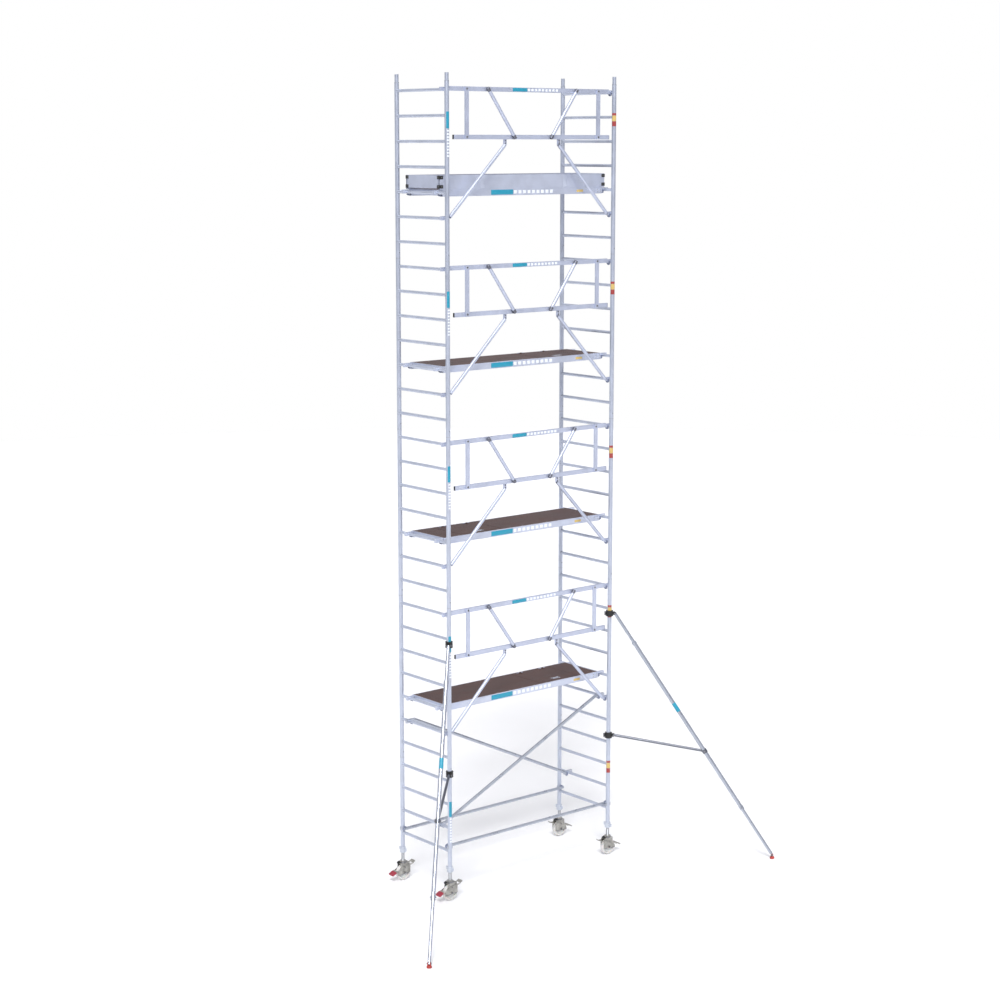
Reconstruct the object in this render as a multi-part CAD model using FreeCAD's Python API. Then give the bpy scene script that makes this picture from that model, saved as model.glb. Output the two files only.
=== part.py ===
import FreeCAD, Part
import math
import os

# Mobile aluminium tower scaffold: five stacked ladder frames at each end, four platforms, four
# guardrails, four braces, two stabilizers and four adjustable legs on swivel casters.
# Millimetres. +X runs along the tower, +Y to its back, +Z up. The floor is z = 0 and the origin
# is the middle of the footprint, so the tower's own centre line stands at y = TOWER_Y.

# ---- driving dimensions ----
TOWER_LENGTH = 2500.0        # ladder frame to ladder frame, centre to centre
TOWER_WIDTH = 900.0          # upright to upright, centre to centre
RUNG_PITCH = 280.0
RUNGS_BOTTOM_FRAME = 4
RUNGS_UPPER_FRAME = 7
UPPER_FRAMES = 4
FIRST_RUNG_Z = 594.0
UPRIGHT_R = 25.4
UPRIGHT_WALL = 2.0
RUNG_R = 17.5
UPRIGHT_BELOW_RUNG = 184.0   # upright below the first rung of its frame
SPIGOT_R = 22.5
SPIGOT_LENGTH = 86.0         # above the upright's shoulder
SPIGOT_INSERT = 120.0        # pressed into the upright below
PIN_R = 4.0
PIN_RISE = 60.0              # lock pin above the joint between two frames
PLATFORM_WIDTH = 610.0
BEAM_WIDTH = 50.0
BEAM_HEIGHT = 75.0
DECK_RISE = 32.0             # deck surface above the centre of its rung
DECK_THICKNESS = 12.0
HATCH_LENGTH = 600.0
HATCH_CENTRE = 600.0         # from the middle of the platform, to alternate sides
DECK_LIP = 8.0               # edge of the platform frame round the deck
TOE_HEIGHT = 158.0
TOE_THICKNESS = 25.0
TOE_END = 12.0               # toe boards end this far inside the ladder frames' centres
TOE_END_GAP = 15.0           # end toe boards above the deck
RAIL_HEIGHT = 50.0
RAIL_DEPTH = 25.0
RAIL_INSET = 45.0            # guardrail plane inside the front uprights' centres
RAIL_RISE = 12.0             # top rail above the centre of its rung
MID_RAIL_DROP = 524.0        # mid rail below the top rail
GUARD_BAR_R = 20.0
POST_THICKNESS = 18.0
# places along a guardrail on its left and right side, from the tower's middle
MID_RAIL_END = {-1: 1125.0, 1: 1203.0}
POST_X = {-1: 950.0, 1: 1020.0}
BRACE_TOP_X = {-1: 655.0, 1: 680.0}
BRACE_LOW_X = {-1: 255.0, 1: 283.0}
LUG_X = {-1: 380.0, 1: 425.0}
CLAW_REACH = 60.0            # claw past the centre of its rung
BRACE_R = 19.0
DIAGONAL_INSET = 160.0       # diagonal braces inside the uprights' centres
HORIZONTAL_RISE = 50.0       # horizontal braces above the first rung
WHEEL_R = 100.0
WHEEL_WIDTH = 50.0
CASTER_HEIGHT = 246.0        # floor to the underside of the leg
LEG_R = 19.0
LEG_INSERT = 450.0           # leg inside its upright
NUT_HEIGHT = 65.0
WING_REACH = 66.0
ROCKER_Z = 165.0             # pivot of the brake rocker
STABILIZER_REACH = 2030.0    # foot from the axis of its upright, level
STABILIZER_TOP_Z = 3058.0
STABILIZER_LOW_Z = 1525.0
STABILIZER_ANGLE = 45.0      # swung out from the tower's length
STRUT_AT = 0.567             # strut joint along the stabilizer, from its top
SLEEVE_FROM = 0.118          # wide tube along the stabilizer
SLEEVE_TO = 0.807
SLEEVE_R = 24.0
SLEEVE_WALL = 3.0
POLE_R = 19.0                # top tube and telescoping leg of a stabilizer
STRUT_R = 16.0
FOOT_R = 28.0
FOOT_PIVOT_Z = 45.0
PIVOT_X = 66.0               # stabilizer pivots from the axis of the upright
COUPLER_R = 42.0
COUPLER_HALF = 35.0          # half of a coupler's height

# ---- clearances ----
CLAW_GAP = 0.4               # claw over a rung or an upright
TURN_GAP = 0.35              # parts that turn or slide on each other, loose
RUN_GAP = 0.08               # axle, kingpin and hinge pin in their bores
FACE_GAP = 0.5               # flat faces that pass each other

# ---- derived ----
HALF_X = TOWER_LENGTH / 2
HALF_Y = TOWER_WIDTH / 2
UPRIGHT_BORE = UPRIGHT_R - UPRIGHT_WALL
BASE_Z = FIRST_RUNG_Z - UPRIGHT_BELOW_RUNG
TOWER_Y = (STABILIZER_REACH * math.sin(math.radians(STABILIZER_ANGLE))
           + FOOT_R - WING_REACH) / 2
BEAM_Y = PLATFORM_WIDTH / 2
DECK_Y = BEAM_Y - BEAM_WIDTH
PLATFORM_HALF = HALF_X - RUNG_R - 32.5
LEVELS = [RUNGS_UPPER_FRAME * n for n in range(1, UPPER_FRAMES + 1)]
TOP_RUNG_ABOVE_DECK = RUNGS_BOTTOM_FRAME
TOE_HALF = HALF_X - TOE_END
PLACE_SCALE = TOWER_LENGTH / 2500.0   # keeps parts along the tower in their places
CORNERS = {"fl": (-1, -1), "fr": (1, -1), "bl": (-1, 1), "br": (1, 1)}
X, Y, Z = (FreeCAD.Vector(*v) for v in ((1, 0, 0), (0, 1, 0), (0, 0, 1)))


def vec(x, y, z):
    return FreeCAD.Vector(x, y, z)


def rung_z(number):
    return FIRST_RUNG_Z + (number - 1) * RUNG_PITCH


def box(x0, x1, y0, y1, z0, z1):
    low = vec(min(x0, x1), min(y0, y1), min(z0, z1))
    return Part.makeBox(abs(x1 - x0), abs(y1 - y0), abs(z1 - z0), low)


def rod(start, end, radius):
    run = end.sub(start)
    return Part.makeCylinder(radius, run.Length, start, run)


def tube(start, end, radius, wall):
    return rod(start, end, radius).cut(rod(start, end, radius - wall))


def box_tube(x0, x1, y0, y1, z0, z1, wall):
    """Hollow bar along X, open at its ends."""
    return box(x0, x1, y0, y1, z0, z1).cut(
        box(x0, x1, y0 + wall, y1 - wall, z0 + wall, z1 - wall))


def plate(points, thickness, x_face):
    """Flat plate in a YZ plane with one face at x_face, from (y, z) corners."""
    corners = [vec(x_face, y, z) for y, z in points]
    return Part.Face(Part.makePolygon(corners + corners[:1])).extrude(X * thickness)


def upright_plate(points, thickness, y_face):
    """Flat plate in an XZ plane with one face at y_face, from (x, z) corners."""
    corners = [vec(x, y_face, z) for x, z in points]
    return Part.Face(Part.makePolygon(corners + corners[:1])).extrude(Y * thickness)


def export(node, solids):
    """Write one node as its own file, moved from the tower's centre line to the origin."""
    whole = Part.makeCompound([s for shape in solids for s in shape.Solids])
    whole.translate(vec(0, TOWER_Y, 0))
    whole.exportStep("parts/" + node + ".step")


def frame_levels():
    """First rung number and rung count of each frame, from the bottom."""
    levels = [(1, RUNGS_BOTTOM_FRAME)]
    for n in range(UPPER_FRAMES):
        levels.append((RUNGS_BOTTOM_FRAME + 1 + n * RUNGS_UPPER_FRAME, RUNGS_UPPER_FRAME))
    return levels


def pin_line(x, y, joint_z, reach, radius):
    z = joint_z + PIN_RISE
    return rod(vec(x, y - reach, z), vec(x, y + reach, z), radius)


def ladder_frame(x, first, count):
    """Two uprights with spigots in their tops, and the rungs between them."""
    bottom = rung_z(first) - UPRIGHT_BELOW_RUNG
    shoulder = bottom + count * RUNG_PITCH
    hole_r = PIN_R + CLAW_GAP
    solids = []
    for y in (-HALF_Y, HALF_Y):
        upright = tube(vec(x, y, bottom), vec(x, y, shoulder), UPRIGHT_R, UPRIGHT_WALL)
        if first > 1:
            upright = upright.cut(pin_line(x, y, bottom, 2 * UPRIGHT_R, hole_r))
        inner = SPIGOT_R - 3 * UPRIGHT_WALL / 2
        spigot = rod(vec(x, y, shoulder), vec(x, y, shoulder + SPIGOT_LENGTH), SPIGOT_R)
        spigot = spigot.fuse(rod(vec(x, y, shoulder - SPIGOT_INSERT), vec(x, y, shoulder),
                                 UPRIGHT_BORE))
        spigot = spigot.cut(rod(vec(x, y, shoulder - SPIGOT_INSERT),
                                vec(x, y, shoulder + SPIGOT_LENGTH), inner))
        spigot = spigot.cut(pin_line(x, y, shoulder, 2 * UPRIGHT_R, hole_r))
        solids += [upright, spigot]
    for n in range(first, first + count):
        rung = rod(vec(x, -HALF_Y, rung_z(n)), vec(x, HALF_Y, rung_z(n)), RUNG_R)
        for y in (-HALF_Y, HALF_Y):
            rung = rung.cut(rod(vec(x, y, rung_z(n) - RUNG_PITCH / 2),
                                vec(x, y, rung_z(n) + RUNG_PITCH / 2), UPRIGHT_R))
        solids.append(rung)
    return solids


def lock_pins():
    """Spring pins that lock each frame to the one below."""
    pins = []
    for first, count in frame_levels()[1:]:
        joint = rung_z(first) - UPRIGHT_BELOW_RUNG
        for side_x, side_y in CORNERS.values():
            reach = UPRIGHT_R + 1.5 * PIN_R
            pins.append(pin_line(side_x * HALF_X, side_y * HALF_Y, joint, reach, PIN_R))
    return pins


def claw(side, y, z, width, inner_x):
    """Hook that drops over a rung from inside the tower; inner_x is where its bar ends."""
    roof = 9.0
    x = side * HALF_X
    grip = RUNG_R + CLAW_GAP
    hook = box(side * inner_x, x + side * CLAW_REACH, y - width / 2, y + width / 2,
               z - RUNG_R, z + grip + roof)
    hook = hook.cut(rod(vec(x, y - width, z), vec(x, y + width, z), grip))
    return hook.cut(box(x - grip, x + grip, y - width, y + width, z - 2 * RUNG_R, z))


def guardrail(deck_rung):
    """Top rail on one rung, mid rail, two posts, two braces and two legs hooked below deck."""
    y = -HALF_Y + RAIL_INSET
    y0, y1 = y - RAIL_DEPTH / 2, y + RAIL_DEPTH / 2
    rung_top = rung_z(deck_rung + TOP_RUNG_ABOVE_DECK)
    top = rung_top + RAIL_RISE
    mid = top - MID_RAIL_DROP
    leg_rung = rung_z(deck_rung - 1)
    half = RAIL_HEIGHT / 2
    rail_end = HALF_X - 55.0
    lug_low, lug_wide, lug_thick = 60.0, 22.0, 4.0
    cheek_thick, cheek_inset = 6.0, 4.0
    bar_y = y0 - GUARD_BAR_R
    solids = [box_tube(-rail_end, rail_end, y0, y1, top - half, top + half, UPRIGHT_WALL),
              box_tube(-MID_RAIL_END[-1] * PLACE_SCALE, MID_RAIL_END[1] * PLACE_SCALE, y0, y1,
                       mid - half, mid + half, UPRIGHT_WALL)]
    for side in (-1, 1):
        low_claw = claw(side, y, leg_rung, RAIL_DEPTH, rail_end)
        solids += [claw(side, y, rung_top, RAIL_DEPTH, rail_end), low_claw]
        px = side * POST_X[side] * PLACE_SCALE
        solids.append(box(px - half, px + half, y0 - POST_THICKNESS, y0, mid - half,
                          top + half - cheek_inset))
        solids.append(tube(vec(side * BRACE_TOP_X[side] * PLACE_SCALE, bar_y, top + half / 2),
                           vec(side * BRACE_LOW_X[side] * PLACE_SCALE, bar_y, mid - half / 2),
                           GUARD_BAR_R, UPRIGHT_WALL))
        x = side * LUG_X[side] * PLACE_SCALE
        lug_end = mid - half - lug_low
        solids.append(box(x - lug_wide, x + lug_wide, y - lug_thick, y + lug_thick, lug_end,
                          mid - half))
        for cheek_y in (y - lug_thick - cheek_thick, y + lug_thick):
            solids.append(box(x - lug_wide + cheek_inset, x + lug_wide - cheek_inset, cheek_y,
                              cheek_y + cheek_thick, lug_end + cheek_inset,
                              mid - half - 3 * cheek_inset))
        start = vec(x, y, lug_end)
        end = vec(side * (rail_end - 15.0), y, leg_rung + RAIL_RISE)
        solids.append(tube(start, end, GUARD_BAR_R, UPRIGHT_WALL).cut(low_claw))
    return solids


def horizontal_brace(side_y):
    """Bar along the tower inside the uprights, with a ring claw round each upright."""
    y = side_y * (HALF_Y - UPRIGHT_R - BRACE_R - CLAW_GAP)
    z = FIRST_RUNG_Z + HORIZONTAL_RISE
    claw_r = UPRIGHT_R + CLAW_GAP
    wall = 8.0
    height = BRACE_R
    solids = [tube(vec(-HALF_X - BRACE_R, y, z), vec(HALF_X + BRACE_R, y, z), BRACE_R, 2.0)]
    for side in (-1, 1):
        x, upright_y = side * HALF_X, side_y * HALF_Y
        low, high = vec(x, upright_y, z - height), vec(x, upright_y, z + height)
        ring = rod(low, high, claw_r + wall).cut(rod(low, high, claw_r))
        mouth = upright_y + side_y * claw_r / 2
        ring = ring.cut(box(x - 2 * claw_r, x + 2 * claw_r, mouth, mouth + side_y * 2 * claw_r,
                            z - 2 * height, z + 2 * height))
        ring = ring.cut(rod(vec(x - 100.0, y, z), vec(x + 100.0, y, z), BRACE_R))
        solids.append(ring)
    return solids


def diagonal_brace(side_y, left_rung, right_rung):
    """Bar between a rung of the left frame and a rung of the right frame."""
    y = side_y * (HALF_Y - DIAGONAL_INSET)
    inner = HALF_X - 60.0
    rise = RAIL_RISE
    left = vec(-inner, y, rung_z(left_rung) + rise)
    right = vec(inner, y, rung_z(right_rung) + rise)
    solids = [tube(left, right, BRACE_R, 2.0)]
    for side, number in ((-1, left_rung), (1, right_rung)):
        solids.append(claw(side, y, rung_z(number), 2 * BRACE_R - 8.0, inner - 6.0))
    solids[0] = solids[0].cut(Part.makeCompound(solids[1:]))
    return solids


def hatch_side(level):
    return 1 if level % 2 == 0 else -1


def hatch_span(level):
    middle = hatch_side(level) * HATCH_CENTRE * PLACE_SCALE
    return middle - HATCH_LENGTH / 2, middle + HATCH_LENGTH / 2


def knuckle(x0, x1, deck_z, leaf_y):
    """Hinge barrel on the hatch's back edge with its leaf on the deck or on the beam."""
    barrel_r, leaf = 5.0, 2.0
    pin_r = 2.5
    z = deck_z + barrel_r
    leaf_end = DECK_Y + leaf_y
    barrel = rod(vec(x0, DECK_Y, z), vec(x1, DECK_Y, z), barrel_r)
    barrel = barrel.fuse(box(x0, x1, DECK_Y, leaf_end, deck_z, deck_z + leaf))
    return barrel.cut(rod(vec(x0, DECK_Y, z), vec(x1, DECK_Y, z), pin_r + RUN_GAP))


def hinge_parts(level, deck_z):
    """Fixed knuckles with their pins, and moving knuckles, for one hatch."""
    start, end = hatch_span(level)
    fixed, moving = [], []
    for x in (start + HATCH_LENGTH / 5, end - HATCH_LENGTH / 5):
        z = deck_z + 5.0
        for x0 in (x - 45.0, x + 15.0 + FACE_GAP):
            fixed.append(knuckle(x0, x0 + 30.0 - FACE_GAP, deck_z, 20.0))
        pin = rod(vec(x - 45.0, DECK_Y, z), vec(x + 45.0, DECK_Y, z), 2.5)
        fixed.append(pin)
        moving.append(knuckle(x - 15.0 + FACE_GAP, x + 15.0 - FACE_GAP, deck_z, -24.0))
    return fixed, moving


def platform_frame(level, rung):
    """Side beams, end beams, cross bars under the deck, ledges, claws and hatch hinges."""
    deck_z = rung_z(rung) + DECK_RISE
    under = deck_z - DECK_THICKNESS
    bottom = deck_z - BEAM_HEIGHT
    ledge = 15.0
    ledge_thick = 4.0
    bar = 30.0
    end_inset = 10.0
    solids = []
    for side in (-1, 1):
        y0, y1 = sorted((side * DECK_Y, side * BEAM_Y))
        solids.append(box_tube(-PLATFORM_HALF, PLATFORM_HALF, y0, y1, bottom, under, 2.5))
        solids.append(box(-PLATFORM_HALF, PLATFORM_HALF, side * (BEAM_Y - DECK_LIP),
                          side * BEAM_Y, under, deck_z))
        solids.append(box(-PLATFORM_HALF + BEAM_WIDTH, PLATFORM_HALF - BEAM_WIDTH,
                          side * DECK_Y, side * (DECK_Y - ledge), under - ledge_thick, under))
        inner_x = PLATFORM_HALF - BEAM_WIDTH
        solids.append(box(side * PLATFORM_HALF, side * inner_x, -DECK_Y, DECK_Y,
                          bottom + end_inset, under))
        solids.append(box(side * PLATFORM_HALF, side * (PLATFORM_HALF - DECK_LIP),
                          -BEAM_Y + DECK_LIP, BEAM_Y - DECK_LIP, under, deck_z))
        for claw_y in (-BEAM_Y + BEAM_WIDTH / 2, BEAM_Y - BEAM_WIDTH / 2):
            solids.append(claw(side, claw_y, rung_z(rung), bar, PLATFORM_HALF))
    start, end = hatch_span(level)
    stops = [-PLATFORM_HALF + BEAM_WIDTH, PLATFORM_HALF - BEAM_WIDTH]
    gap_low, gap_high = (stops[0], start) if hatch_side(level) > 0 else (end, stops[1])
    places = [start - bar / 2, end + bar / 2]
    places += [gap_low + (gap_high - gap_low) * n / 3 for n in (1, 2)]
    for x in places:
        solids.append(box(x - bar / 2, x + bar / 2, -DECK_Y, DECK_Y, bottom + end_inset,
                          under - ledge_thick))
    return solids + hinge_parts(level, deck_z)[0]


def deck_panels():
    """Plywood each side of every hatch, and the strips in front of it and behind it."""
    panels = []
    reach = PLATFORM_HALF - DECK_LIP
    edge = BEAM_Y - DECK_LIP
    gap = 1.5
    for level, rung in enumerate(LEVELS):
        top = rung_z(rung) + DECK_RISE
        under = top - DECK_THICKNESS
        start, end = hatch_span(level)
        for x0, x1 in ((-reach, start - gap), (end + gap, reach)):
            panels.append(box(x0, x1, -edge, edge, under, top))
        for side in (-1, 1):
            panels.append(box(start - gap, end + gap, side * DECK_Y, side * edge, under, top))
    return panels


def hatch(level, rung):
    """Trapdoor with its moving knuckles and a sunk ring pull near its front edge."""
    top = rung_z(rung) + DECK_RISE
    start, end = hatch_span(level)
    x = (start + end) / 2
    handle_y = -DECK_Y + 60.0
    panel = box(start, end, -DECK_Y + FACE_GAP, DECK_Y - 2 * FACE_GAP,
                top - DECK_THICKNESS + FACE_GAP, top)
    panel = panel.cut(box(x - 50.0, x + 50.0, handle_y - 20.0, handle_y + 20.0, top - 5.0, top))
    grip = box(x - 40.0, x + 40.0, handle_y - 5.0, handle_y + 5.0, top - 5.0, top + 1.0)
    return [panel, grip] + hinge_parts(level, top)[1]


def toe_boards(rung):
    z0 = rung_z(rung) + DECK_RISE
    z1 = z0 + TOE_HEIGHT
    inner_y = BEAM_Y - TOE_THICKNESS
    solids = []
    for side in (-1, 1):
        y0, y1 = sorted((side * BEAM_Y, side * inner_y))
        solids.append(box_tube(-TOE_HALF, TOE_HALF, y0, y1, z0, z1, UPRIGHT_WALL))
        solids.append(box(side * TOE_HALF, side * (TOE_HALF - TOE_THICKNESS), -inner_y, inner_y,
                          z0 + TOE_END_GAP, z1))
    return solids


def toe_clips(rung):
    """Corner clips that hold the toe boards together, two at each corner."""
    z0 = rung_z(rung) + DECK_RISE
    leg, skin, tall, inset = 45.0, 4.0, 36.0, 6.0
    clips = []
    for side_x, side_y in CORNERS.values():
        x, y = side_x * TOE_HALF, side_y * BEAM_Y
        for z in (z0 + TOE_END_GAP, z0 + TOE_HEIGHT - tall - inset):
            angle = box(x + side_x * skin, x - side_x * leg, y + side_y * skin,
                        y - side_y * leg, z, z + tall)
            clips.append(angle.cut(box(x, x - side_x * 2 * leg, y, y - side_y * 2 * leg,
                                       z - skin, z + tall + skin)))
    return clips


def caster_leg():
    """Threaded tube in the upright, flange and kingpin; on the z axis."""
    foot = CASTER_HEIGHT
    leg = tube(vec(0, 0, foot), vec(0, 0, BASE_Z + LEG_INSERT), LEG_R, 4.0)
    flange = rod(vec(0, 0, foot - 8.0), vec(0, 0, foot), 34.0)
    kingpin = rod(vec(0, 0, foot - 34.0), vec(0, 0, foot - 8.0), 8.0)
    return [leg.fuse([flange, kingpin])]


def wing_nut():
    """Adjusting nut with two wings, right under the upright."""
    top = BASE_Z - FACE_GAP
    bottom = top - NUT_HEIGHT
    nut = rod(vec(0, 0, bottom), vec(0, 0, top), 33.0)
    for side in (-1, 1):
        wing = [(side * 28.0, bottom + 12.0), (side * (WING_REACH - 4.0), bottom + 20.0),
                (side * WING_REACH, top - 8.0), (side * 28.0, top - 22.0)]
        nut = nut.fuse(plate(wing, 12.0, -6.0))
    return [nut.cut(rod(vec(0, 0, bottom), vec(0, 0, top), LEG_R + TURN_GAP))]


def caster_fork():
    """Bearing head, two side plates, the axle bolt and the rocker's stub pins; then a knob."""
    plate_z = CASTER_HEIGHT - 38.0
    skin = 4.0
    plate_top = plate_z + 2 * skin
    head_top = CASTER_HEIGHT - 2 * skin - FACE_GAP
    inner = WHEEL_WIDTH / 2 + 4.0
    outer = inner + skin
    head_r = 40.0
    head = rod(vec(0, 0, plate_top), vec(0, 0, head_top), head_r)
    head = head.fuse(box(-56.0, 74.0, -outer, outer, plate_z, plate_top))
    head = head.cut(rod(vec(0, 0, plate_z), vec(0, 0, head_top), 8.0 + RUN_GAP))
    outline = [(-56.0, plate_z + skin), (74.0, plate_z + skin), (86.0, ROCKER_Z), (86.0, 88.0),
               (-98.0, 76.0), (-98.0, 96.0), (-60.0, ROCKER_Z)]
    for side in (-1, 1):
        y = inner if side > 0 else -outer
        head = head.fuse(upright_plate(outline, skin, y))
        head = head.fuse(rod(vec(0, side * inner, ROCKER_Z),
                             vec(0, side * (inner + 16.0), ROCKER_Z), 5.0))
    reach = outer + 8.0
    axle = rod(vec(0, -reach, WHEEL_R), vec(0, reach, WHEEL_R), 6.0)
    for side in (-1, 1):
        axle = axle.fuse(rod(vec(0, side * outer, WHEEL_R), vec(0, side * reach, WHEEL_R), 11.0))
    knob = rod(vec(-48.0, 0, plate_top), vec(-48.0, 0, plate_top + 22.0), 4.0)
    knob = knob.fuse(rod(vec(-78.0, 0, plate_top + 8.0), vec(-46.0, 0, plate_top + 20.0), 14.0))
    return [head.fuse(axle), knob.cut(rod(vec(0, 0, 0), vec(0, 0, CASTER_HEIGHT), head_r))]


def caster_wheel():
    """Nylon wheel with a rounded tread, a thin web and a hub; its axle runs along Y."""
    half = WHEEL_WIDTH / 2
    hub = half + 1.5
    web = 10.0
    profile = [vec(0, -hub, 22.0), vec(0, -hub, 30.0), vec(0, -web, 36.0),
               vec(0, -web, WHEEL_R - 30.0), vec(0, -half, WHEEL_R - 24.0),
               vec(0, -half, WHEEL_R - 10.0)]
    mirror = [vec(0, -p.y, p.z) for p in reversed(profile)]
    lines = [Part.LineSegment(a, b).toShape() for a, b in zip(profile, profile[1:])]
    tread = Part.Arc(profile[-1], vec(0, 0, WHEEL_R), mirror[0]).toShape()
    back = [Part.LineSegment(a, b).toShape() for a, b in zip(mirror, mirror[1:])]
    closing = Part.LineSegment(mirror[-1], profile[0]).toShape()
    face = Part.Face(Part.Wire(lines + [tread] + back + [closing]))
    wheel = face.revolve(vec(0, 0, 0), Y, 360.0)
    wheel = wheel.fuse(rod(vec(0, -hub, 0), vec(0, hub, 0), 22.0))
    wheel = wheel.cut(rod(vec(0, -2 * hub, 0), vec(0, 2 * hub, 0), 6.0 + RUN_GAP))
    wheel.translate(vec(0, 0, WHEEL_R))
    return [wheel]


def brake_rocker():
    """Two arms outside the fork, joined by the brake pedal and by the release lever."""
    z = ROCKER_Z
    skin = 4.0
    inner = WHEEL_WIDTH / 2 + 4.0 + skin + 1.0
    outer = inner + skin
    arm = [(132.0, z + 32.0), (134.0, z + 22.0), (20.0, z - 14.0), (-50.0, z - 26.0),
           (-122.0, z - 56.0), (-128.0, z - 42.0), (-54.0, z - 8.0), (-14.0, z + 15.0),
           (14.0, z + 15.0)]
    pedal = [(-112.0, z - 28.0), (-118.0, z - 38.0), (-178.0, z - 76.0), (-184.0, z - 66.0)]
    lever = [(126.0, z + 33.0), (128.0, z + 24.0), (156.0, z + 40.0), (154.0, z + 47.0)]
    solids = []
    for y in (inner, -outer):
        piece = upright_plate(arm, skin, y)
        solids.append(piece.cut(rod(vec(0, -2 * outer, z), vec(0, 2 * outer, z),
                                    5.0 + RUN_GAP)))
    solids.append(upright_plate(pedal, 2 * outer, -outer))
    solids.append(upright_plate(lever, 2 * outer, -outer))
    return [solids[0].fuse(solids[1:])]


def caster_parts(side_x):
    """The pieces of one caster; a right-hand one is swivelled half a turn under its knob."""
    parts = {"leg": caster_leg(), "wing_nut": wing_nut(), "fork": caster_fork(),
             "wheel": caster_wheel(), "brake_rocker": brake_rocker()}
    if side_x > 0:
        for solid in (parts["fork"][0], parts["brake_rocker"][0]):
            solid.rotate(vec(0, 0, 0), Z, 180.0)
    return parts


def along(start, end, share):
    return start.add((end.sub(start)).multiply(share))


def coupler(z):
    """Clamp round the upright with a pivot lug, pointing along +X."""
    low, high = vec(0, 0, z - COUPLER_HALF), vec(0, 0, z + COUPLER_HALF)
    lug, tail, tail_half = 20.0, 62.0, 9.0
    clamp = rod(low, high, COUPLER_R)
    clamp = clamp.fuse(box(lug, PIVOT_X, -lug, lug, z - 18.0, z + 18.0))
    clamp = clamp.fuse(box(-tail, -lug, -tail_half, tail_half, z - lug, z + lug))
    return clamp.cut(rod(low, high, UPRIGHT_R + TURN_GAP))


def stabilizer():
    """Pieces of one stabilizer in the plane y = 0, with the upright on the z axis."""
    top = vec(PIVOT_X, 0, STABILIZER_TOP_Z)
    low_pivot = vec(PIVOT_X, 0, STABILIZER_LOW_Z)
    foot = vec(STABILIZER_REACH, 0, FOOT_PIVOT_Z)
    run = foot.sub(top).normalize()
    lugs = [rod(p.sub(Y * 26.0), p.add(Y * 26.0), 7.0) for p in (top, low_pivot)]
    clamps = [coupler(STABILIZER_TOP_Z), coupler(STABILIZER_LOW_Z)]
    joint = along(top, foot, STRUT_AT)
    pieces = {"couplers": [c.fuse(lug) for c, lug in zip(clamps, lugs)]}
    pieces["tube"] = stabilizer_tube(top, foot, [clamps[0], lugs[0]])
    pieces["strut"] = stabilizer_strut(low_pivot, joint, run, [clamps[1], lugs[1]])
    pieces["leg"] = stabilizer_leg(along(top, foot, STRUT_AT - 0.1), foot, run)
    pieces["foot"] = stabilizer_foot(foot)
    return pieces


def stabilizer_tube(top, foot, fittings):
    """Top tube, wide sleeve round the leg, and the plug and the rim at the sleeve's ends."""
    rim_r = SLEEVE_R + 4.0
    bore = SLEEVE_R - SLEEVE_WALL
    collar = 40.0 / foot.sub(top).Length
    sleeve_top, sleeve_low = along(top, foot, SLEEVE_FROM), along(top, foot, SLEEVE_TO)
    pole = tube(top, along(top, foot, SLEEVE_FROM + 0.03), POLE_R, 2.0)
    for fitting in fittings:
        pole = pole.cut(fitting)
    sleeve = tube(sleeve_top, sleeve_low, SLEEVE_R, SLEEVE_WALL)
    plug = tube(sleeve_top, along(top, foot, SLEEVE_FROM + 0.015), bore, bore - POLE_R)
    rim = tube(along(top, foot, SLEEVE_TO - collar), along(top, foot, SLEEVE_TO + collar / 4),
               rim_r, rim_r - SLEEVE_R)
    return [pole, sleeve, plug, rim]


def stabilizer_strut(low_pivot, joint, run, fittings):
    """Strut from the lower coupler to a cuff round the sleeve."""
    cuff_r, cuff_half = SLEEVE_R + 8.0, 22.0
    cuff = tube(joint.sub(run * cuff_half), joint.add(run * cuff_half), cuff_r,
                cuff_r - SLEEVE_R)
    strut = tube(low_pivot, joint, STRUT_R, 2.0)
    strut = strut.cut(rod(joint.sub(run * 60.0), joint.add(run * 60.0), cuff_r))
    for fitting in fittings:
        strut = strut.cut(fitting)
    return [max(strut.Solids, key=lambda solid: solid.Volume), cuff]


def stabilizer_leg(leg_top, foot, run):
    """Telescoping leg with an eye for the foot's pin."""
    half, pin_r = 9.0, 5.0
    leg = rod(leg_top, foot.sub(run * 22.0), POLE_R)
    leg = leg.cut(rod(leg_top, foot.sub(run * 60.0), POLE_R - 2.5))
    leg = leg.fuse([rod(foot.sub(Y * half), foot.add(Y * half), 12.0),
                    rod(foot.sub(run * 30.0), foot.sub(run * 8.0), half)])
    return [leg.cut(rod(foot.sub(Y * 2 * half), foot.add(Y * 2 * half), pin_r + RUN_GAP))]


def stabilizer_foot(foot):
    """Rubber boot with two cheeks and the pin that the leg's eye turns on."""
    half, pin_r, cheek_out = 9.0, 5.0, 18.0
    floor = vec(foot.x, 0, 0)
    pad = rod(floor, floor.add(Z * 18.0), FOOT_R)
    pad = pad.fuse(Part.makeCone(FOOT_R, FOOT_R - 7.0, 10.0, floor.add(Z * 18.0), Z))
    for side in (-1, 1):
        pad = pad.fuse(box(foot.x - 14.0, foot.x + 14.0, side * (half + FACE_GAP),
                           side * cheek_out, 24.0, FOOT_PIVOT_Z + 12.0))
    return [pad.fuse(rod(foot.sub(Y * cheek_out), foot.add(Y * cheek_out), pin_r))]


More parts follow.
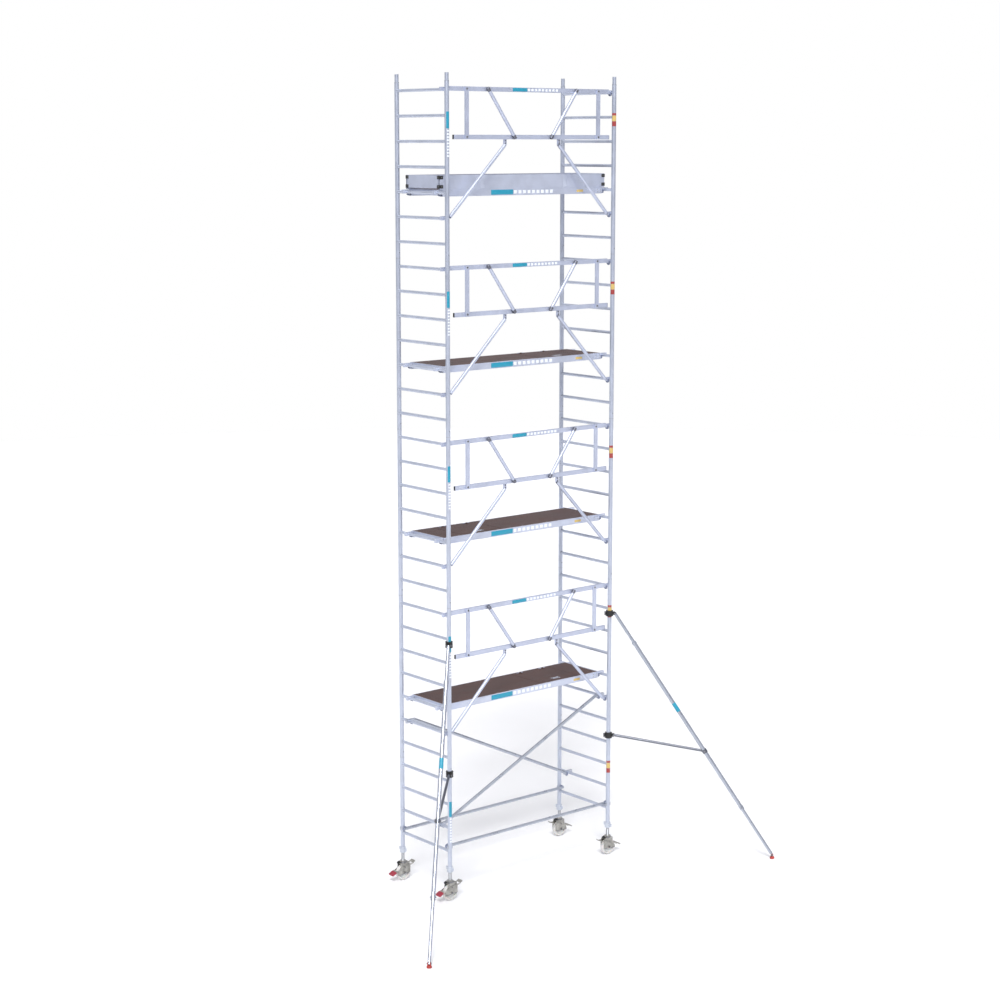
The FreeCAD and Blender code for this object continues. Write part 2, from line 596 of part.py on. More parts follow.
def build():
    os.makedirs("parts", exist_ok=True)
    for n, (first, count) in enumerate(frame_levels(), 1):
        export("left_frame_%d" % n, ladder_frame(-HALF_X, first, count))
        export("right_frame_%d" % n, ladder_frame(HALF_X, first, count))
    export("frame_lock_pins", lock_pins())
    for level, rung in enumerate(LEVELS):
        export("guardrail_%d" % (level + 1), guardrail(rung))
        export("platform_frame_%d" % (level + 1), platform_frame(level, rung))
        export("hatch_%d" % (level + 1), hatch(level, rung))
    export("deck_panels", deck_panels())
    export("toe_boards", toe_boards(LEVELS[-1]))
    export("toe_board_clips", toe_clips(LEVELS[-1]))
    export("horizontal_brace_front", horizontal_brace(-1))
    export("horizontal_brace_back", horizontal_brace(1))
    export("diagonal_brace_front", diagonal_brace(-1, 2, 6))
    export("diagonal_brace_back", diagonal_brace(1, 6, 2))
    for corner, (side_x, side_y) in CORNERS.items():
        for piece, solids in caster_parts(side_x).items():
            for solid in solids:
                solid.translate(vec(side_x * HALF_X, side_y * HALF_Y, 0))
            export("%s_%s" % (piece, corner), solids)
    for side_x, side in ((-1, "left"), (1, "right")):
        turn = 180.0 + STABILIZER_ANGLE if side_x < 0 else -STABILIZER_ANGLE
        for piece, solids in stabilizer().items():
            for solid in solids:
                solid.rotate(vec(0, 0, 0), Z, turn)
                solid.translate(vec(side_x * HALF_X, -HALF_Y, 0))
            export("stabilizer_%s_%s" % (side, piece), solids)


build()
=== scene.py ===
"""Looks of the mobile tower scaffold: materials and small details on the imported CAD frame."""

import math

import bmesh
import bpy
from mathutils import Matrix, Vector


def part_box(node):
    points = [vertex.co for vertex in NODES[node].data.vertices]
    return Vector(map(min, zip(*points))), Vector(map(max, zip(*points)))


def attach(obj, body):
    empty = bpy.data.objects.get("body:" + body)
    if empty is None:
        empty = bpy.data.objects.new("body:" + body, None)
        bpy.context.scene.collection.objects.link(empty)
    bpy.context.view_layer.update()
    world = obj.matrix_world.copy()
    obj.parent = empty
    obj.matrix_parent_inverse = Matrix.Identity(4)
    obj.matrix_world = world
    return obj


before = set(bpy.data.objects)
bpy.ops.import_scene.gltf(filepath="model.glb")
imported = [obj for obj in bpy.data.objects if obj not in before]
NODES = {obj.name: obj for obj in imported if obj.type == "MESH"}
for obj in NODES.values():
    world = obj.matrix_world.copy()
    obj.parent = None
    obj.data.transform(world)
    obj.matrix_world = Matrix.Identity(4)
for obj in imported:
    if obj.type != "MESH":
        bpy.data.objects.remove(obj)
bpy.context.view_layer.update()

# ---- sizes read from the frame ----
LOW_L, HIGH_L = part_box("left_frame_2")
HIGH_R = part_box("right_frame_2")[1]
UPRIGHT_R = (HIGH_L.x - LOW_L.x) / 2
X_LEFT, X_RIGHT = LOW_L.x + UPRIGHT_R, HIGH_R.x - UPRIGHT_R
Y_FRONT, Y_BACK = LOW_L.y + UPRIGHT_R, HIGH_L.y - UPRIGHT_R
Y_MIDDLE = (Y_FRONT + Y_BACK) / 2
RUNG_PITCH = 0.28
RUNG_R = 0.0175
FIRST_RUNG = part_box("left_frame_1")[0].z + 0.184   # centre of the lowest rung
RUNGS = [4, 7, 7, 7, 7]                            # rungs of each frame, from the bottom up
LABEL_RUNGS = [3, 10, 17, 24, 31]
PLATFORM_RUNGS = [7, 14, 21, 28]
DECK_RISE = 0.032                                  # deck surface above its rung's centre
BEAM_TALL = 0.075
PLATFORM_END = 1.199                               # half length of a platform's beams
CORNERS = {"fl": (X_LEFT, Y_FRONT), "fr": (X_RIGHT, Y_FRONT),
           "bl": (X_LEFT, Y_BACK), "br": (X_RIGHT, Y_BACK)}


def rung_z(number):
    return FIRST_RUNG + (number - 1) * RUNG_PITCH


# ---- mesh building ----
class Shape:
    """Collects simple solids into one smooth-shaded mesh object."""

    def __init__(self):
        self.bm = bmesh.new()

    def _place(self, verts, matrix):
        bmesh.ops.transform(self.bm, matrix=matrix, verts=verts)

    def bar(self, low, high, bevel=0.0, turn=None):
        """Box with rounded edges between two corners."""
        low, high = Vector(low), Vector(high)
        made = bmesh.ops.create_cube(self.bm, size=1.0)["verts"]
        size = high - low
        scale = Matrix.Diagonal((abs(size.x), abs(size.y), abs(size.z), 1.0))
        move = Matrix.Translation((low + high) / 2)
        self._place(made, move @ (turn or Matrix.Identity(4)) @ scale)
        if bevel:
            edges = list({e for v in made for e in v.link_edges})
            bmesh.ops.bevel(self.bm, geom=edges, offset=bevel, segments=2, affect="EDGES",
                            profile=0.5)
        return self

    def rod(self, start, end, radius, sides=20, tip=None):
        """Closed cylinder or cone between two points."""
        start, end = Vector(start), Vector(end)
        run = end - start
        made = bmesh.ops.create_cone(self.bm, cap_ends=True, segments=sides, radius1=radius,
                                     radius2=radius if tip is None else tip,
                                     depth=run.length)["verts"]
        turn = run.to_track_quat("Z", "Y").to_matrix().to_4x4()
        self._place(made, Matrix.Translation((start + end) / 2) @ turn)
        return self

    def lathe(self, centre, axis, profile, sides=40, closed=True):
        """Turned shape: profile is a list of (radius, height along the axis)."""
        turn = Vector(axis).to_track_quat("Z", "Y").to_matrix().to_4x4()
        place = Matrix.Translation(Vector(centre)) @ turn
        rings = []
        for radius, height in profile:
            ring = []
            for n in range(sides):
                a = 2 * math.pi * n / sides
                point = Vector((radius * math.cos(a), radius * math.sin(a), height))
                ring.append(self.bm.verts.new(place @ point))
            rings.append(ring)
        pairs = list(zip(rings, rings[1:]))
        if closed:
            pairs.append((rings[-1], rings[0]))
        for a, b in pairs:
            for n in range(sides):
                m = (n + 1) % sides
                self.bm.faces.new((a[n], a[m], b[m], b[n]))
        return self

    def bolt(self, at, axis, size=0.008, washer=True):
        """Hexagon head on a washer; at is the face it sits on."""
        at, axis = Vector(at), Vector(axis).normalized()
        if washer:
            self.rod(at, at + axis * size * 0.2, size * 1.25, 24)
        self.rod(at, at + axis * size * 0.85, size, 6)
        self.rod(at + axis * size * 0.85, at + axis * size * 0.95, size * 0.85, 24, size * 0.7)
        return self

    def rivet(self, at, axis, size=0.005):
        at, axis = Vector(at), Vector(axis).normalized()
        self.rod(at, at + axis * size * 0.35, size, 14, size * 0.9)
        self.rod(at + axis * size * 0.35, at + axis * size * 0.6, size * 0.9, 14, size * 0.35)
        return self

    def finish(self, name, material, body, slot=None, smooth=True):
        bmesh.ops.recalc_face_normals(self.bm, faces=self.bm.faces)
        mesh = bpy.data.meshes.new(name)
        self.bm.to_mesh(mesh)
        self.bm.free()
        piece = bpy.data.objects.new(name, mesh)
        bpy.context.scene.collection.objects.link(piece)
        mesh.materials.append(material)
        if smooth:
            mesh.shade_smooth()
            mesh.set_sharp_from_angle(angle=math.radians(35))
        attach(piece, body)
        return piece


# ---- materials ----
class Nodes:
    """A material with its Principled shader and short ways to add nodes."""

    def __init__(self, name, colour, metallic, roughness):
        self.material = bpy.data.materials.new(name)
        self.material.use_nodes = True
        self.tree = self.material.node_tree
        self.shader = self.tree.nodes["Principled BSDF"]
        self.shader.inputs["Base Color"].default_value = (*colour, 1)
        self.shader.inputs["Metallic"].default_value = metallic
        self.shader.inputs["Roughness"].default_value = roughness
        self.place = self.add("ShaderNodeTexCoord").outputs["Object"]

    def add(self, kind, **settings):
        node = self.tree.nodes.new(kind)
        for key, value in settings.items():
            setattr(node, key, value)
        return node

    def link(self, a, b):
        self.tree.links.new(a, b)

    def scaled(self, scale):
        mapping = self.add("ShaderNodeMapping")
        mapping.inputs["Scale"].default_value = scale
        self.link(self.place, mapping.inputs["Vector"])
        return mapping.outputs["Vector"]

    def noise(self, scale, stretch=(1, 1, 1), detail=4.0):
        node = self.add("ShaderNodeTexNoise")
        node.inputs["Scale"].default_value = scale
        node.inputs["Detail"].default_value = detail
        self.link(self.scaled(stretch), node.inputs["Vector"])
        return node.outputs["Fac"]

    def ramp(self, source, low, high, start=0.3, end=0.7):
        """Colours or grey values between two ends of a factor."""
        node = self.add("ShaderNodeValToRGB")
        node.color_ramp.elements[0].position = start
        node.color_ramp.elements[1].position = end
        node.color_ramp.elements[0].color = (*low, 1)
        node.color_ramp.elements[1].color = (*high, 1)
        self.link(source, node.inputs["Fac"])
        return node.outputs["Color"]

    def range(self, source, low, high):
        node = self.add("ShaderNodeMapRange")
        node.inputs["To Min"].default_value = low
        node.inputs["To Max"].default_value = high
        self.link(source, node.inputs["Value"])
        return node.outputs["Result"]

    def mix(self, factor, a, b):
        node = self.add("ShaderNodeMix", data_type="RGBA")
        self.link(factor, node.inputs["Factor"])
        for value, socket in ((a, node.inputs["A"]), (b, node.inputs["B"])):
            if isinstance(value, tuple):
                socket.default_value = (*value, 1)
            else:
                self.link(value, socket)
        return node.outputs["Result"]

    def math(self, operation, a, b=None):
        node = self.add("ShaderNodeMath", operation=operation)
        for value, socket in zip((a, b), node.inputs):
            if value is None:
                continue
            if isinstance(value, (int, float)):
                socket.default_value = value
            else:
                self.link(value, socket)
        return node.outputs["Value"]

    def bump(self, height, strength, distance):
        node = self.add("ShaderNodeBump")
        node.inputs["Strength"].default_value = strength
        node.inputs["Distance"].default_value = distance
        self.link(height, node.inputs["Height"])
        self.link(node.outputs["Normal"], self.shader.inputs["Normal"])

    def axis(self, letter):
        node = self.add("ShaderNodeSeparateXYZ")
        self.link(self.place, node.inputs["Vector"])
        return node.outputs[letter]


def aluminium(name, colour, brushed, roughness=0.34, metallic=0.75):
    """Mill-finish extrusion with drawn lines along one axis, faint blooms and dull patches."""
    n = Nodes(name, colour, metallic, roughness)
    stretch = [220.0, 220.0, 220.0]
    stretch["XYZ".index(brushed)] = 4.0
    lines = n.noise(1.0, tuple(stretch), 2.0)
    bloom = n.noise(6.0, (1, 1, 1), 6.0)
    darker = tuple(c * 0.86 for c in colour)
    tint = n.ramp(bloom, darker, colour, 0.32, 0.62)
    paler = tuple(min(1.0, c * 1.08) for c in colour)
    n.link(n.mix(n.range(lines, 0.0, 0.55), tint, paler), n.shader.inputs["Base Color"])
    rough = n.math("ADD", n.range(bloom, -0.07, 0.09), n.range(lines, -0.05, 0.05))
    n.link(n.math("ADD", rough, roughness), n.shader.inputs["Roughness"])
    n.bump(lines, 0.12, 0.0004)
    return n.material


def zinc(name, colour=(0.42, 0.41, 0.38), roughness=0.42):
    """Zinc-plated pressed steel: crystalline patches and a faint yellow-grey bloom."""
    n = Nodes(name, colour, 0.9, roughness)
    cells = n.add("ShaderNodeTexVoronoi")
    cells.inputs["Scale"].default_value = 90.0
    n.link(n.place, cells.inputs["Vector"])
    patches = n.noise(18.0)
    shade = n.ramp(patches, tuple(c * 0.7 for c in colour), tuple(c * 1.25 for c in colour))
    n.link(shade, n.shader.inputs["Base Color"])
    n.link(n.range(cells.outputs["Distance"], roughness - 0.1, roughness + 0.16),
           n.shader.inputs["Roughness"])
    n.bump(patches, 0.15, 0.0006)
    return n.material


THREAD_PITCH = 0.012


def threaded(name):
    """Round thread on the adjustable legs, rolled into galvanised tube, with painted shade in its
    valleys and a painted highlight on its crests.
    """
    n = Nodes(name, (0.62, 0.64, 0.68), 0.9, 0.36)
    height = n.axis("Z")
    turns = n.math("SINE", n.math("MULTIPLY", height, 2 * math.pi / THREAD_PITCH))
    dirt = n.noise(40.0)
    # painted shade and highlight: dark in the thread's valleys, pale on its crests
    thread_relief_shade = n.range(turns, 0.0, 1.0)
    thread_relief_shade.node.inputs["From Min"].default_value = -1.0
    n.link(n.mix(thread_relief_shade, (0.30, 0.31, 0.33), (0.70, 0.72, 0.76)), n.shader.inputs["Base Color"])
    n.link(n.range(dirt, 0.28, 0.5), n.shader.inputs["Roughness"])
    n.bump(turns, 0.6, 0.003)
    return n.material


def cast(name, colour):
    n = Nodes(name, colour, 0.7, 0.45)
    grain = n.noise(380.0, detail=2.0)
    worn = n.noise(12.0)
    n.link(n.ramp(worn, tuple(c * 0.85 for c in colour), colour), n.shader.inputs["Base Color"])
    n.link(n.range(grain, 0.38, 0.56), n.shader.inputs["Roughness"])
    n.bump(grain, 0.3, 0.0006)
    return n.material


def plastic(name, colour, roughness=0.45, grain_size=700.0, bump=0.2):
    """Moulded plastic or nylon with a fine sparked grain and slight mottling."""
    n = Nodes(name, colour, 0.0, roughness)
    grain = n.noise(grain_size, detail=2.0)
    mottle = n.noise(25.0)
    n.link(n.ramp(mottle, tuple(c * 0.88 for c in colour), colour), n.shader.inputs["Base Color"])
    n.link(n.range(mottle, roughness - 0.06, roughness + 0.08), n.shader.inputs["Roughness"])
    n.bump(grain, bump, 0.0003)
    return n.material


def nylon():
    """White wheel: cloudy nylon, scuffed grey where the tread meets the floor."""
    n = Nodes("wheel_nylon", (0.64, 0.63, 0.61), 0.0, 0.4)
    n.shader.inputs["Subsurface Weight"].default_value = 0.08
    cloud = n.noise(14.0)
    scuff = n.noise(120.0, (1, 1, 1), 8.0)
    base = n.ramp(cloud, (0.58, 0.57, 0.55), (0.69, 0.68, 0.66))
    marks = n.ramp(scuff, (1, 1, 1), (0, 0, 0), 0.32, 0.40)
    n.link(n.mix(n.math("MULTIPLY", marks, 0.35), base, (0.42, 0.41, 0.39)),
           n.shader.inputs["Base Color"])
    n.link(n.range(scuff, 0.32, 0.55), n.shader.inputs["Roughness"])
    n.bump(scuff, 0.12, 0.0008)
    return n.material


def plywood():
    """Film-faced plywood, pressed with a fine wire-mesh pattern against slipping."""
    n = Nodes("deck_film", (0.085, 0.040, 0.030), 0.0, 0.5)
    n.shader.inputs["Specular IOR Level"].default_value = 0.35
    waves = []
    for angle in (math.radians(45), math.radians(-45)):
        mapping = n.add("ShaderNodeMapping")
        mapping.inputs["Rotation"].default_value = (0, 0, angle)
        n.link(n.place, mapping.inputs["Vector"])
        wave = n.add("ShaderNodeTexWave", wave_type="BANDS", bands_direction="X")
        wave.inputs["Scale"].default_value = 52.0
        n.link(mapping.outputs["Vector"], wave.inputs["Vector"])
        waves.append(wave.outputs["Fac"])
    mesh = n.math("MAXIMUM", *waves)
    wear = n.noise(3.5, (1, 2.5, 1), 8.0)
    fleck = n.noise(260.0, detail=2.0)
    film = n.ramp(wear, (0.050, 0.020, 0.015), (0.088, 0.040, 0.031))
    lifted = n.mix(n.range(mesh, 0.0, 0.25), film, (0.12, 0.060, 0.048))
    n.link(n.mix(n.range(fleck, 0.0, 0.2), lifted, (0.05, 0.022, 0.018)),
           n.shader.inputs["Base Color"])
    n.link(n.math("ADD", n.range(wear, 0.38, 0.62), n.range(mesh, 0.06, -0.06)),
           n.shader.inputs["Roughness"])
    n.bump(mesh, 0.45, 0.0012)
    return n.material


def rubber(name, colour):
    n = Nodes(name, colour, 0.0, 0.72)
    dust = n.noise(30.0, detail=8.0)
    grain = n.noise(500.0, detail=2.0)
    n.link(n.ramp(dust, tuple(c * 0.7 for c in colour), tuple(c * 1.2 + 0.01 for c in colour)),
           n.shader.inputs["Base Color"])
    n.link(n.range(dust, 0.62, 0.85), n.shader.inputs["Roughness"])
    n.bump(grain, 0.25, 0.0005)
    return n.material


def sticker(name, colour, edge):
    """Printed film label with a scuffed lacquer."""
    n = Nodes(name, colour, 0.0, 0.3)
    wear = n.noise(60.0, detail=8.0)
    n.link(n.ramp(wear, edge, colour, 0.28, 0.36), n.shader.inputs["Base Color"])
    n.link(n.range(wear, 0.25, 0.42), n.shader.inputs["Roughness"])
    n.bump(wear, 0.05, 0.0002)
    return n.material


M = {
    "frame": aluminium("frame_aluminium", (0.54, 0.58, 0.68), "Z", 0.36, 0.65),
    "rail": aluminium("guardrail_aluminium", (0.56, 0.60, 0.73), "X", 0.4, 0.5),
    "beam": aluminium("beam_aluminium", (0.62, 0.66, 0.78), "X", 0.38, 0.55),
    "brace": aluminium("brace_aluminium", (0.48, 0.51, 0.58), "X", 0.28, 0.85),
    # the strut is the brace's aluminium with a painted dark reflection: its near-black colour stands in
    # for dark surroundings mirrored in a polished tube
    "strut": aluminium("strut_painted_dark_reflection", (0.17, 0.18, 0.21), "X", 0.3, 0.8),
    "weld": cast("weld_bead", (0.52, 0.55, 0.62)),
    "nut": cast("nut_casting", (0.66, 0.70, 0.78)),
    "zinc": zinc("zinc_steel"),
    "thread": threaded("leg_thread"),
    "dark_zinc": zinc("dark_zinc", (0.24, 0.24, 0.26), 0.4),
    "black": plastic("black_coated", (0.018, 0.018, 0.018), 0.42),
    "nylon": nylon(),
    "deck": plywood(),
    "red": plastic("red_moulded", (0.36, 0.035, 0.06), 0.4),
    "foot": rubber("red_rubber", (0.40, 0.045, 0.035)),
    "cyan": sticker("cyan_label", (0.02, 0.30, 0.44), (0.14, 0.42, 0.54)),
    "white_label": sticker("white_label", (0.86, 0.90, 0.95), (0.70, 0.74, 0.80)),
    "end_grey": cast("tube_end", (0.20, 0.21, 0.26)),
    "label_red": sticker("red_label", (0.36, 0.05, 0.05), (0.50, 0.24, 0.22)),
    "label_yellow": sticker("yellow_label", (0.66, 0.48, 0.16), (0.72, 0.62, 0.40)),
    "latch": plastic("latch_blue_grey", (0.22, 0.25, 0.36), 0.4),
}


def paint_nodes():
    """Gives every CAD node its procedural material."""
    starts = [("left_frame", "frame"), ("right_frame", "frame"), ("frame_lock", "dark_zinc"),
              ("guardrail", "rail"), ("platform_frame", "beam"), ("hatch", "deck"),
              ("deck_panels", "deck"), ("toe_boards", "beam"), ("toe_board_clips", "black"),
              ("horizontal_brace", "brace"), ("diagonal_brace", "brace"), ("leg_", "thread"),
              ("wing_nut", "nut"), ("fork", "zinc"), ("wheel", "nylon"),
              ("brake_rocker", "zinc")]
    for name, node in NODES.items():
        if name.startswith("stabilizer"):
            kind = name.rsplit("_", 1)[1]
            # struts take the aluminium with the painted dark reflection
            key = {"couplers": "black", "foot": "foot", "strut": "strut"}.get(kind, "brace")
        else:
            key = next(k for start, k in starts if name.startswith(start))
        node.data.materials.clear()
        node.data.materials.append(M[key])


# ---- details on the ladder frames ----
def frame_details():
    """A weld at both ends of every rung and a turned rim at every frame joint."""
    for side, x in (("left", X_LEFT), ("right", X_RIGHT)):
        first = 1
        for n, count in enumerate(RUNGS, 1):
            welds = Shape()
            for number in range(first, first + count):
                for y, inward in ((Y_FRONT, 1), (Y_BACK, -1)):
                    weld_bead(welds, x, y, inward, rung_z(number))
            welds.finish("%s_frame_%d_welds" % (side, n), M["weld"], "tower",
                         "frame_aluminium")
            collar = Shape()
            shoulder = rung_z(first + count - 1) + 0.096
            for y in (Y_FRONT, Y_BACK):
                collar.lathe((x, y, shoulder - 0.010), (0, 0, 1),
                             [(UPRIGHT_R - 0.001, 0), (UPRIGHT_R + 0.0006, 0.001),
                              (UPRIGHT_R + 0.0006, 0.009), (UPRIGHT_R - 0.001, 0.010)])
            collar.finish("%s_frame_%d_rims" % (side, n), M["weld"], "tower",
                          "frame_aluminium")
            first += count


def weld_bead(shape, x, y, inward, z):
    """Rippled bead that follows the line where a rung meets its upright."""
    steps, ripple = 36, 12
    rings = []
    for n in range(steps):
        a = 2 * math.pi * n / steps
        dx, dz = RUNG_R * math.cos(a), RUNG_R * math.sin(a)
        depth = math.sqrt(UPRIGHT_R ** 2 - dx ** 2)
        centre = Vector((x + dx, y + inward * depth, z + dz))
        out = Vector((math.cos(a), 0, math.sin(a)))
        along = Vector((0, inward, 0))
        size = 0.0034 + 0.0005 * math.sin(ripple * a)
        ring = []
        for m in range(6):
            b = 2 * math.pi * m / 6
            ring.append(shape.bm.verts.new(centre + size * (out * math.cos(b)
                                                            + along * math.sin(b))))
        rings.append(ring)
    for n in range(steps):
        a, b = rings[n], rings[(n + 1) % steps]
        for m in range(6):
            k = (m + 1) % 6
            shape.bm.faces.new((a[m], a[k], b[k], b[m]))


def wrap_label(shape, x, y, z0, z1, centre_angle, spread, radius):
    """Thin label bent round an upright."""
    steps = 16
    rows = []
    for n in range(steps + 1):
        a = centre_angle + spread * (n / steps - 0.5)
        out = Vector((math.cos(a), math.sin(a), 0))
        rows.append([Vector((x, y, z)) + out * r for z in (z0, z1)
                     for r in (radius, radius + 0.0005)])
    verts = [[shape.bm.verts.new(p) for p in row] for row in rows]
    for a, b in zip(verts, verts[1:]):
        shape.bm.faces.new((a[1], b[1], b[3], a[3]))
        shape.bm.faces.new((a[0], a[2], b[2], b[0]))
        shape.bm.faces.new((a[2], a[3], b[3], b[2]))
        shape.bm.faces.new((a[0], b[0], b[1], a[1]))
    for end in (verts[0], verts[-1]):
        shape.bm.faces.new((end[0], end[1], end[3], end[2]))


CYAN_LABEL = (-0.14, 0.042)              # heights of the labels' ends from their rung
RED_BANDS = ((-0.105, -0.048), (0.020, 0.046))
YELLOW_BAND = (-0.046, 0.018)
PALE_BLOCKS = 9
FRONT = math.radians(-90)                # where the labels face, round an upright
FRONT_LEFT = math.radians(-115)


def upright_labels():
    """Plain colour strips, one set on every frame, without any print."""
    for n, number in enumerate(LABEL_RUNGS, 1):
        z = rung_z(number)
        cyan, pale = Shape(), Shape()
        wrap_label(cyan, X_LEFT, Y_FRONT, z + CYAN_LABEL[0], z + CYAN_LABEL[1], FRONT, 1.9,
                   UPRIGHT_R)
        for step in range(PALE_BLOCKS):
            low = z - 0.175 - 0.034 * step
            wrap_label(pale, X_LEFT, Y_FRONT, low, low + 0.018, FRONT, 1.2, UPRIGHT_R)
        cyan.finish("frame_label_%d" % n, M["cyan"], "tower")
        pale.finish("frame_label_pale_%d" % n, M["white_label"], "tower")
        red, yellow = Shape(), Shape()
        for low, high in RED_BANDS:
            wrap_label(red, X_RIGHT, Y_FRONT, z + low, z + high, FRONT_LEFT, 2.6, UPRIGHT_R)
        wrap_label(yellow, X_RIGHT, Y_FRONT, z + YELLOW_BAND[0], z + YELLOW_BAND[1],
                   FRONT_LEFT, 2.6, UPRIGHT_R)
        red.finish("load_label_red_%d" % n, M["label_red"], "tower")
        yellow.finish("load_label_yellow_%d" % n, M["label_yellow"], "tower")


# ---- guardrails and platforms ----
def latch(shape, side, y, z, half):
    """Spring latch under a claw: a cheek plate, its pivot and a finger lever."""
    x = X_LEFT if side < 0 else X_RIGHT
    inner = x - side * 0.026
    for face in (-1, 1):
        face_y = y + face * half
        shape.bar((inner - 0.012, face_y, z - 0.034), (inner + 0.012, face_y + face * 0.003,
                                                      z + 0.006), 0.001)
        shape.bolt((inner, face_y + face * 0.003, z - 0.004), (0, face, 0), 0.005, False)
    shape.bar((inner - 0.006, y - half, z - 0.040), (inner + 0.006, y + half, z - 0.026), 0.003)
    shape.bar((x - side * 0.030, y - half * 0.7, z - 0.030),
              (x - side * 0.004, y + half * 0.7, z - 0.024), 0.002)


RAIL_HALF = 0.0125            # half depth of the rails, which are flat tubes
TOP_RAIL_RISE = 0.012         # top rail above its rung's centre
RAIL_SPACING = 0.524
TOP_RAIL_END = 1.19
MID_RAIL_END = {-1: 1.125, 1: 1.203}
POST_X = {-1: 0.950, 1: 1.020}
BRACE_TOP_X = {-1: 0.655, 1: 0.680}
BRACE_LOW_X = {-1: 0.255, 1: 0.283}
LUG_X = {-1: 0.380, 1: 0.425}


def guardrail_details():
    """Caps, bolts, ribs, dark tube ends, claw latches and a plain label on every guardrail."""
    for n, rung in enumerate(PLATFORM_RUNGS, 1):
        rail_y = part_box("guardrail_%d" % n)[1].y - 0.020
        front, back = rail_y - RAIL_HALF, rail_y + RAIL_HALF
        top = rung_z(rung + 4) + TOP_RAIL_RISE
        mid = top - RAIL_SPACING
        leg = rung_z(rung - 1)
        caps, bolts, ends, ribs = Shape(), Shape(), Shape(), Shape()
        for side in (-1, 1):
            end = side * MID_RAIL_END[side]
            caps.bar((end - side * 0.002, rail_y - 0.0123, mid - 0.0248),
                     (end + side * 0.004, rail_y + 0.0123, mid + 0.0248), 0.0015)
            caps.rod((end + side * 0.004, rail_y, mid), (end + side * 0.007, rail_y, mid), 0.009)
            for z in (top, mid):
                bolts.bolt((side * POST_X[side], front - 0.018, z), (0, -1, 0), 0.009)
                bolts.bolt((side * POST_X[side], back, z), (0, 1, 0), 0.009)
            tube_y = front - 0.020
            upper = Vector((side * BRACE_TOP_X[side], tube_y, top + RAIL_HALF))
            lower = Vector((side * BRACE_LOW_X[side], tube_y, mid - RAIL_HALF))
            run = (lower - upper).normalized()
            for at, way in ((upper, run), (lower, -run)):
                ends.rod(at - way * 0.001, at + way * 0.042, 0.0206, 24)
                ends.rod(at - way * 0.006, at - way * 0.001, 0.015, 24, 0.0206)
                centre = at + way * 0.020
                bolts.bolt((centre.x, front - 0.0402, centre.z), (0, -1, 0), 0.008)
                bolts.bolt((centre.x, back, centre.z), (0, 1, 0), 0.009)
            for way in (-1, 1):
                for dz in (0.040, 0.068):
                    bolts.bolt((side * LUG_X[side], rail_y + way * 0.010, mid - dz),
                               (0, way, 0), 0.007)
            latches = Shape()
            latch(latches, side, rail_y, rung_z(rung + 4), RAIL_HALF)
            latch(latches, side, rail_y, leg, RAIL_HALF)
            name = "left" if side < 0 else "right"
            latches.finish("guardrail_%d_latches_%s" % (n, name), M["latch"], "tower",
                           "guardrail_aluminium")
        for z, x0, x1 in ((top, -TOP_RAIL_END, TOP_RAIL_END), (mid, -MID_RAIL_END[-1], MID_RAIL_END[1])):
            for dz in (-0.0225, 0.0225):
                for y, way in ((front, -1), (back, 1)):
                    ribs.bar((x0, y, z + dz - 0.0018), (x1, y + way * 0.0010, z + dz + 0.0018),
                             0.0004)
        ribs.finish("guardrail_%d_ribs" % n, M["rail"], "tower", "guardrail_aluminium")
        caps.finish("guardrail_%d_caps" % n, M["black"], "tower", "black_plastic")
        bolts.finish("guardrail_%d_bolts" % n, M["dark_zinc"], "tower", "pin_steel")
        ends.finish("guardrail_%d_tube_ends" % n, M["end_grey"], "tower", "guardrail_aluminium")
        label_strip("guardrail_%d" % n, front, top - 0.020, top + 0.020, -0.275, -0.062, 0.41)


def label_strip(name, face_y, z0, z1, x0, x1, x2):
    """Blue label with a row of pale unlettered blocks after it, on a face that looks to -Y."""
    label = Shape()
    label.bar((x0, face_y - 0.0022, z0), (x1, face_y - 0.0002, z1), 0.0003)
    label.finish(name + "_label", M["cyan"], "tower")
    blocks = Shape()
    wide = (x2 - x1) / PALE_BLOCKS
    inset = (z1 - z0) * 0.16
    for n in range(PALE_BLOCKS):
        start = x1 + wide * (n + 0.2)
        blocks.bar((start, face_y - 0.0020, z0 + inset), (start + wide * 0.62, face_y - 0.0002,
                                                          z1 - inset), 0.0003)
    blocks.finish(name + "_label_pale", M["white_label"], "tower")


